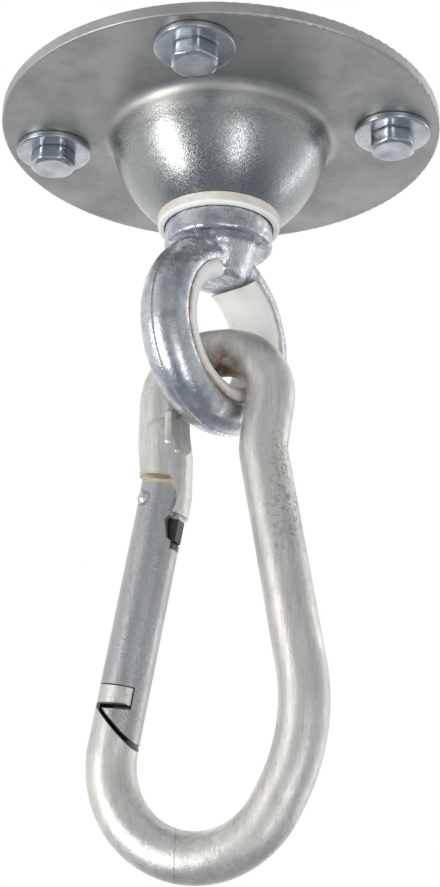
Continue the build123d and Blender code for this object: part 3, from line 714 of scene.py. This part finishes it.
class HookBolts(bpy.types.Operator):
    """Puts a bolt with an eased head and a cut thread in each hole of the flange."""

    bl_idname = "swinghook.bolts"
    bl_label = "Bolts"

    def execute(self, context):
        sizes = context.scene.hook_sizes
        zinc = bpy.data.materials["bolt zinc"]
        for number, node in enumerate(BOLT_NODES):
            low, high = (np.array(corner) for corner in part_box(WASHER_NODES[number]))
            centre = (low + high) / 2
            turn = math.atan2(centre[1], centre[0]) + math.radians(BOLT_TURNS[number])
            name = "threaded_bolt_%d" % (number + 1)
            piece = bolt_piece(name, centre, turn, low[2], zinc, sizes, 1.7 * number)
            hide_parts(node)
            name = "rounded_washer_%d" % (number + 1)
            wide = (high[0] - low[0]) / 2
            ring = washer_piece(name, centre, low[2], high[2], wide, zinc, sizes)
            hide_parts(WASHER_NODES[number])
        return {"FINISHED"}


def area_light(name, place, width, height, power, colour):
    """Soft rectangular lamp at a place, aimed at the middle of the hook."""
    lamp = bpy.data.lights.new(name, "AREA")
    lamp.shape = "RECTANGLE"
    lamp.size = width
    lamp.size_y = height
    lamp.energy = power
    lamp.color = colour
    holder = bpy.data.objects.new(name, lamp)
    bpy.context.scene.collection.objects.link(holder)
    aim = (Vector(LIT_MIDDLE) - Vector(place)).to_track_quat("-Z", "Y")
    holder.matrix_world = Matrix.Translation(place) @ aim.to_matrix().to_4x4()
    return holder


def flat_sheet(name, corners, colour):
    """Plain pale sheet of the stage, with its material's nodes and shader."""
    mesh = bpy.data.meshes.new(name)
    mesh.from_pydata(corners, [], [(0, 1, 2, 3)])
    sheet = bpy.data.objects.new(name, mesh)
    bpy.context.scene.collection.objects.link(sheet)
    material, nodes, shader, _ = new_material(name, 0.0, 0.9)
    shader.inputs["Base Color"].default_value = (*colour, 1.0)
    sheet.data.materials.append(material)
    return sheet, nodes, shader


def blend_shaders(nodes, mask, first, second, output):
    """Links a mix of two shaders by a mask to an output node's surface, or gives it back."""
    blend = nodes.add("ShaderNodeMixShader")
    nodes.link(mask, blend.inputs["Fac"])
    nodes.link(first, blend.inputs[1])
    nodes.link(second, blend.inputs[2])
    if output:
        nodes.link(blend.outputs["Shader"], nodes.tree.nodes[output].inputs["Surface"])
    return blend.outputs["Shader"]


def backdrop(right, upward, ahead, place):
    """White sheet behind the hook; camera and mirrors see its glow in front and nothing from behind."""
    centre = place + ahead * BACKDROP_AWAY
    corners = [centre + right * x * BACKDROP_WIDE + upward * y * BACKDROP_TALL for x, y in SQUARE]
    sheet, nodes, shader = flat_sheet("stage backdrop", corners, (0.9, 0.9, 0.9))
    path = nodes.add("ShaderNodeLightPath")
    seen = nodes.maths("MAXIMUM", path.outputs["Is Camera Ray"], path.outputs["Is Glossy Ray"])
    seen = nodes.maths("MAXIMUM", seen, path.outputs["Is Transmission Ray"])
    glow = nodes.add("ShaderNodeEmission", Color=(1.0, 1.0, 1.0, 1.0), Strength=1.0)
    front = blend_shaders(nodes, seen, shader.outputs["BSDF"], glow.outputs["Emission"], None)
    behind = nodes.add("ShaderNodeNewGeometry").outputs["Backfacing"]
    clear = nodes.add("ShaderNodeBsdfTransparent").outputs["BSDF"]
    blend_shaders(nodes, behind, front, clear, "Material Output")
    return sheet


def soft_sky():
    """White sky to the camera; to the metal, a sky that darkens below with two grey bands at its sides."""
    world = bpy.data.worlds.new("soft sky")
    world.use_nodes = True
    nodes = Nodes(world.node_tree)
    back = world.node_tree.nodes["Background"]
    coords = nodes.add("ShaderNodeTexCoord").outputs["Generated"]
    level = along(nodes, coords, (-0.12, 0.85, 0.30))
    sky = nodes.mix(nodes.ramp(level, -0.55, 0.35), (0.52, 0.53, 0.545), (0.84, 0.845, 0.85))
    side = along(nodes, coords, SIDEWAYS)
    bands = nodes.maths(
        "ADD", within(nodes, side, 0.42, 0.62, 0.16), within(nodes, side, -0.42, -0.28, 0.14)
    )
    sky = nodes.mix(nodes.times(bands, 0.55), sky, (0.22, 0.24, 0.28))
    under = nodes.ramp(along(nodes, coords, UP), -0.40, -0.66)
    sky = nodes.mix(nodes.times(under, 0.8), sky, (0.20, 0.23, 0.28))
    nodes.link(sky, back.inputs["Color"])
    plain = nodes.add("ShaderNodeBackground", Color=(1.0, 1.0, 1.0, 1.0), Strength=1.0)
    seen = nodes.add("ShaderNodeLightPath").outputs["Is Camera Ray"]
    blend_shaders(nodes, seen, back.outputs["Background"], plain.outputs["Background"], "World Output")
    return world


class HookStage(bpy.types.Operator):
    """Backdrop, floor, soft studio light and the camera at the photograph's angle."""

    bl_idname = "swinghook.stage"
    bl_label = "Stage"

    def execute(self, context):
        rise = math.radians(CAMERA_RISE)
        roll = math.radians(CAMERA_ROLL)
        ahead = Vector((0.0, math.cos(rise), math.sin(rise)))
        flat_right = Vector(SIDEWAYS)
        flat_up = flat_right.cross(ahead)
        right = flat_right * math.cos(roll) + flat_up * math.sin(roll)
        upward = flat_up * math.cos(roll) - flat_right * math.sin(roll)
        place = Vector(CAMERA_PLACE)
        lens = bpy.data.cameras.new("photo camera")
        lens.lens = CAMERA_LENS
        lens.sensor_width = CAMERA_SENSOR
        lens.clip_start = 0.01
        camera = bpy.data.objects.new("photo camera", lens)
        context.scene.collection.objects.link(camera)
        camera.matrix_world = Matrix((
            (right.x, upward.x, -ahead.x, place.x),
            (right.y, upward.y, -ahead.y, place.y),
            (right.z, upward.z, -ahead.z, place.z),
            (0, 0, 0, 1),
        ))
        context.scene.camera = camera
        backdrop(right, upward, ahead, place)
        floor = [(x * FLOOR_REACH, y * FLOOR_REACH, FLOOR_HEIGHT) for x, y in SQUARE]
        ground = flat_sheet("stage floor", floor, (0.9, 0.9, 0.89))[0]
        ground.visible_glossy = False
        area_light("left window", (-0.66, -0.36, -0.34), 0.20, 0.60, 2.9, (1.0, 0.99, 0.97))
        area_light("near window", (0.30, -0.74, -0.52), 0.17, 0.55, 1.3, (1.0, 1.0, 0.99))
        area_light("right window", (0.72, 0.30, -0.05), 0.12, 0.8, 0.7, (0.93, 0.97, 1.0))
        fill = area_light("front fill", (-0.10, -1.1, -0.60), 1.1, 0.7, 3.6, (1.0, 1.0, 1.0))
        fill.visible_glossy = False
        context.scene.world = soft_sky()
        context.scene.view_settings.view_transform = "Standard"
        return {"FINISHED"}


class HookPanel(bpy.types.Panel):
    """Lists the steps in the sidebar."""

    bl_label = "Swing hook"
    bl_idname = "SWINGHOOK_PT_steps"
    bl_space_type = "VIEW_3D"
    bl_region_type = "UI"
    bl_category = "Swing hook"

    def draw(self, context):
        for step in STEPS:
            self.layout.operator(step.bl_idname)


STEPS = (HookFinish, HookBolts, HookSpring, HookStage)
CLASSES = (HookFinishes, HookSizes, *STEPS, HookPanel)


def register():
    for item in CLASSES:
        bpy.utils.register_class(item)
    bpy.types.Scene.hook_finishes = PointerProperty(type=HookFinishes)
    bpy.types.Scene.hook_sizes = PointerProperty(type=HookSizes)


def unregister():
    del bpy.types.Scene.hook_sizes
    del bpy.types.Scene.hook_finishes
    for item in reversed(CLASSES):
        bpy.utils.unregister_class(item)


def main():
    register()
    for step in STEPS:
        group, name = step.bl_idname.split(".")
        getattr(getattr(bpy.ops, group), name)()


if __name__ == "__main__":
    main()
